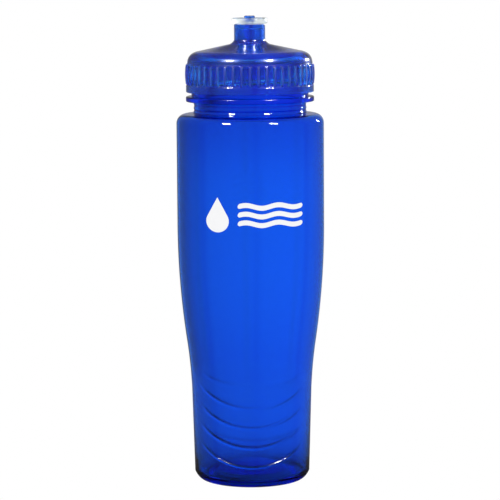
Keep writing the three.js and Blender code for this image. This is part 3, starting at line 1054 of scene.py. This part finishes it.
bpy.ops.object.mode_set(mode="EDIT")
bpy.ops.mesh.select_all(action="DESELECT")
bpy.ops.object.mode_set(mode="OBJECT")
for port in range(PORTS):
    open_port(lid, port)
bpy.ops.object.mode_set(mode="EDIT")
bpy.ops.mesh.select_all(action="SELECT")
bpy.ops.mesh.normals_make_consistent(inside=False)
bpy.ops.object.mode_set(mode="OBJECT")
print("ports in the web:", PORTS)

# %% Grip ribs on the skirt
RIB_LOW = 206.4
RIB_HIGH = 217.3
RIB_HALF_FLAT = 0.45
RIB_HALF_FOOT = 0.95
RIB_HEIGHT = 1.0
RIB_END_SHARE = 0.55  # of that height, at a rib's ends
RIB_TOP_FADE = 0.8
RIB_FOOT_FADE = 0.3


def lid_rib_share(place):
    """1 on a rib's crest at its middle height, less towards its ends, and 0 between the ribs."""
    radius = math.hypot(place.x, place.y)
    if radius < SHELL_RADIUS - 0.3 or not RIB_LOW < place.z < RIB_HIGH:
        return 0
    pitch = 2 * math.pi / RIB_COUNT
    off = (math.atan2(place.y, place.x) + pitch / 2) % pitch - pitch / 2
    across = smooth((RIB_HALF_FOOT - abs(off) * radius) / (RIB_HALF_FOOT - RIB_HALF_FLAT))
    along = (place.z - RIB_LOW) / (RIB_HIGH - RIB_LOW)
    bow = RIB_END_SHARE + (1 - RIB_END_SHARE) * math.sin(math.pi * along)
    ends = smooth((RIB_HIGH - place.z) / RIB_TOP_FADE) * smooth((place.z - RIB_LOW) / RIB_FOOT_FADE)
    return across * bow * ends


touched = raise_relief(lid, RIB_HEIGHT, lid_rib_share)
print("lid ribs:", RIB_COUNT, "with", touched, "points raised")

# %% Thread in the lid
LID_THREAD_FIRST = 0.28
LID_THREAD_TURNS = 0.92
LID_THREAD_HEIGHT = 1.5
THREAD_GAP = 0.3  # between the flanks that carry the load
LID_THREAD_START = THREAD_START - (THREAD_ROOT + THREAD_CREST) / 2 - THREAD_GAP


def lid_thread_share(place):
    radius = math.hypot(place.x, place.y)
    if abs(radius - LID_BORE) > 0.2 or not LID_BOTTOM + 0.5 < place.z < SEAT_START:
        return 0
    return thread_share(place, LID_THREAD_START, LID_THREAD_FIRST, LID_THREAD_TURNS)


touched = raise_relief(lid, LID_THREAD_HEIGHT, lid_thread_share)
print("lid thread:", LID_THREAD_TURNS, "turns,", touched, "points raised")
finish_piece(lid, "lid", "screw_lid", lid_plastic)

# %% [markdown]
# ## The mouthpiece
# A soft frosted valve slides in the spout. Pushed down, its outlet closes round the pin; pulled up by
# 6 mm, the drink flows past the pin. Its flange is what the teeth pull on, so its edges are well rounded.

# %% Mouthpiece
FLANGE_RADIUS = mouthpiece_high.x / MM
SLEEVE_BOTTOM = mouthpiece_low.z / MM
FLANGE_TOP = mouthpiece_high.z / MM
FLANGE_LOW = 237.6
SLEEVE_RADIUS = 6.35
SLEEVE_BORE = 5.1
BEAD_RADIUS = 6.85
BEAD_LOW = 227.8
BEAD_HIGH = 229.0
OUTLET_RADIUS = 2.9
OUTLET_LOW = 238.6
MOUTH_STEPS = 96
mouth_outline = soften([
    (SLEEVE_BORE, SLEEVE_BOTTOM + 1, 0),
    (SLEEVE_BORE, SLEEVE_BOTTOM, 0.2),
    (SLEEVE_RADIUS, SLEEVE_BOTTOM, 0.3),
    (SLEEVE_RADIUS, BEAD_LOW, 0.15),
    (BEAD_RADIUS, BEAD_LOW, 0.2),
    (BEAD_RADIUS, BEAD_HIGH, 0.3),
    (SLEEVE_RADIUS, BEAD_HIGH, 0.15),
    (SLEEVE_RADIUS, FLANGE_LOW, 0.3),
    (FLANGE_RADIUS, FLANGE_LOW, 0.8),
    (FLANGE_RADIUS, FLANGE_TOP, 1.1),
    (OUTLET_RADIUS, FLANGE_TOP, 0.5),
    (OUTLET_RADIUS, OUTLET_LOW, 0.2),
    (SLEEVE_BORE, OUTLET_LOW - 1.2, 0.5),
    (SLEEVE_BORE, SLEEVE_BOTTOM + 1, 0),
])
mouth = turn_on_lathe("pull_valve", mouth_outline, MOUTH_STEPS)
finish_piece(mouth, "spout", "mouthpiece", mouthpiece_plastic)

# %% [markdown]
# ## The sealing washer
# A flat ring is clamped between the bottle's rim and the lid. It is soft, so its corners are rounded.

# %% Washer
WASHER_OUTER = washer_high.x / MM
WASHER_INNER = 26.9
WASHER_LOW = washer_low.z / MM
WASHER_HIGH = washer_high.z / MM
WASHER_STEPS = 144
washer_middle = (WASHER_LOW + WASHER_HIGH) / 2
washer_outline = soften([
    (WASHER_INNER, washer_middle, 0),
    (WASHER_INNER, WASHER_LOW, 0.25),
    (WASHER_OUTER, WASHER_LOW, 0.25),
    (WASHER_OUTER, WASHER_HIGH, 0.25),
    (WASHER_INNER, WASHER_HIGH, 0.25),
    (WASHER_INNER, washer_middle, 0),
])
washer = turn_on_lathe("soft_washer", washer_outline, WASHER_STEPS)
finish_piece(washer, "seal", "sealing_washer", washer_foam)

# %% [markdown]
# ## The print
# White ink is printed on the front: a plain water mark of a drop and three waves. Each shape is one
# upright edge, extruded from station to station and stretched to the height it has there. A Shrinkwrap
# modifier lays the flat shapes on the round wall, and Solidify gives the ink its thickness. Upright edges
# lie along the wall's straight direction, so the ink follows the wall without more rows.

# %% Print's driving sizes, in millimetres
PRINT_MIDDLE = 142.4
PRINT_AHEAD = 60  # the shapes are drawn this far in front of the axis
INK_THICKNESS = 0.05
INK_GAP = 0.02
DROP_AT = -16.8
DROP_RADIUS = 5.7
DROP_TIP = 12.1  # above the middle of its round part
DROP_LOW = -3.1
WAVE_LEFT = -6.6
WAVE_RIGHT = 26.2
WAVE_SPACING = 4.4
WAVE_THICKNESS = 2.5
WAVE_SWING = 0.75
WAVE_LENGTH = 16.4
DROP_STEPS = 36
WAVE_STEPS = 64


def draw_band(name, stations):
    """A flat band in front of the bottle, from stations of (x, low edge, high edge) in millimetres."""
    bpy.ops.object.select_all(action="DESELECT")
    bpy.ops.mesh.primitive_plane_add(size=MM)
    band = bpy.context.object
    band.name = name
    x, low, high = stations[0]
    bpy.ops.object.mode_set(mode="EDIT")
    bpy.ops.mesh.select_all(action="SELECT")
    bpy.ops.mesh.merge(type="CENTER")
    bpy.ops.transform.translate(value=(x * MM, -PRINT_AHEAD * MM, low * MM))
    bpy.ops.mesh.extrude_vertices_move(TRANSFORM_OT_translate={"value": (0, 0, (high - low) * MM)})
    bpy.ops.mesh.select_all(action="SELECT")
    for before, after in zip(stations, stations[1:]):
        middle = (after[1] + after[2]) / 2
        climb = middle - (before[1] + before[2]) / 2
        stretch = (after[2] - after[1]) / (before[2] - before[1])
        step = ((after[0] - before[0]) * MM, 0, climb * MM)
        bpy.ops.mesh.extrude_edges_move(TRANSFORM_OT_translate={"value": step})
        bpy.ops.transform.resize(
            value=(1, 1, stretch), center_override=(after[0] * MM, -PRINT_AHEAD * MM, middle * MM)
        )
    bpy.ops.object.mode_set(mode="OBJECT")
    return band


def drop_stations():
    """A round drop whose straight sides meet at a tip."""
    slope = DROP_RADIUS / math.sqrt(DROP_TIP ** 2 - DROP_RADIUS ** 2)
    shoulder = DROP_RADIUS * math.sqrt(1 - (DROP_RADIUS / DROP_TIP) ** 2)
    stations = []
    for k in range(1, DROP_STEPS):
        side = -DROP_RADIUS * math.cos(math.pi * k / DROP_STEPS)
        round_half = math.sqrt(DROP_RADIUS ** 2 - side ** 2)
        top = DROP_TIP - abs(side) / slope if abs(side) < shoulder else round_half
        middle = PRINT_MIDDLE + DROP_LOW
        stations.append((DROP_AT + side, middle - round_half, middle + top))
    return stations


def wave_stations(level):
    """A wavy stripe with round ends."""
    half = WAVE_THICKNESS / 2
    stations = []
    for k in range(1, WAVE_STEPS):
        x = WAVE_LEFT + (WAVE_RIGHT - WAVE_LEFT) * (1 - math.cos(math.pi * k / WAVE_STEPS)) / 2
        from_end = min(x - WAVE_LEFT, WAVE_RIGHT - x, half)
        round_half = math.sqrt(half ** 2 - (half - from_end) ** 2)
        swing = WAVE_SWING * math.sin(2 * math.pi * (x - WAVE_LEFT) / WAVE_LENGTH)
        middle = PRINT_MIDDLE + level + swing
        stations.append((x, middle - round_half, middle + round_half))
    return stations


# %% Draw the print and lay it on the wall
bands = [draw_band("ink_drop", drop_stations())]
for row in (-1, 0, 1):
    bands.append(draw_band("ink_wave", wave_stations(row * WAVE_SPACING)))
bpy.ops.object.select_all(action="DESELECT")
for band in bands:
    band.select_set(True)
bpy.context.view_layer.objects.active = bands[0]
bpy.ops.object.join()
front_print = bpy.context.object
front_print.name = "front_print"
front_print.data.name = "front_print"

wrap = front_print.modifiers.new("wrap", "SHRINKWRAP")
wrap.target = bottle
wrap.wrap_method = "PROJECT"
wrap.use_project_y = True
wrap.use_positive_direction = True
wrap.use_negative_direction = False
bpy.ops.object.modifier_apply(modifier=wrap.name)

clear_of_wall = (BODY_RADIUS + INK_GAP) / BODY_RADIUS
bpy.ops.object.mode_set(mode="EDIT")
bpy.ops.mesh.select_all(action="SELECT")
bpy.ops.transform.resize(value=(clear_of_wall, clear_of_wall, 1), center_override=(0, 0, 0))
bpy.ops.mesh.normals_make_consistent(inside=False)
bpy.ops.object.mode_set(mode="OBJECT")
if sum(face.normal.y * face.area for face in front_print.data.polygons) > 0:
    front_print.data.flip_normals()
ink = front_print.modifiers.new("ink", "SOLIDIFY")
ink.thickness = INK_THICKNESS * MM
ink.offset = 1
bpy.ops.object.modifier_apply(modifier=ink.name)
finish_piece(front_print, "bottle", None, white_ink)

# %% End
print("sizes written")
